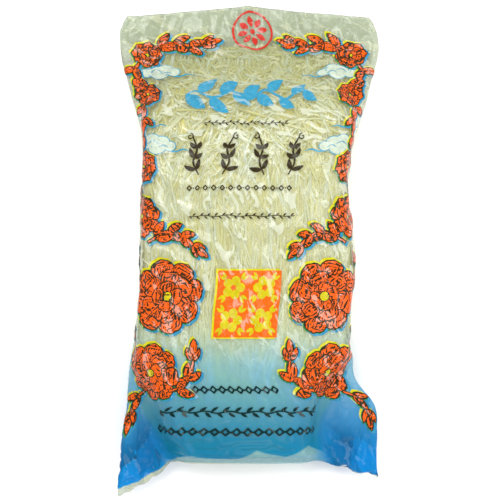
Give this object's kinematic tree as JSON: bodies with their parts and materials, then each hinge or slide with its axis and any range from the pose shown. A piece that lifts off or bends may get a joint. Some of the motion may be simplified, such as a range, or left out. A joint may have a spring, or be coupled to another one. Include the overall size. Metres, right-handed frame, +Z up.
{
  "type": "sealed bag of glass noodles",
  "caption": "Clear printed film bag, sealed across both ends and packed with a long bundle of dried glass noodles, lying on its back.",
  "frame": {"origin": "centre of the bag's bounding box in X and Y, on the surface that it lies on", "axes": "+X to the right of the printed front, +Y to the top end of the bag, +Z up out of the printed front"},
  "size_m": [0.1382, 0.2598, 0.0454],
  "materials": {
    "printed_film": "clear glossy film, creased, over pale yellow-green noodles",
    "dried_noodles": "translucent pale yellow-green starch strands with a soft sheen",
    "film_inks": "opaque printing inks under the film's gloss"
  },
  "bodies": {
    "root": {"noodle_bag": "printed_film"}
  },
  "joints": []
}
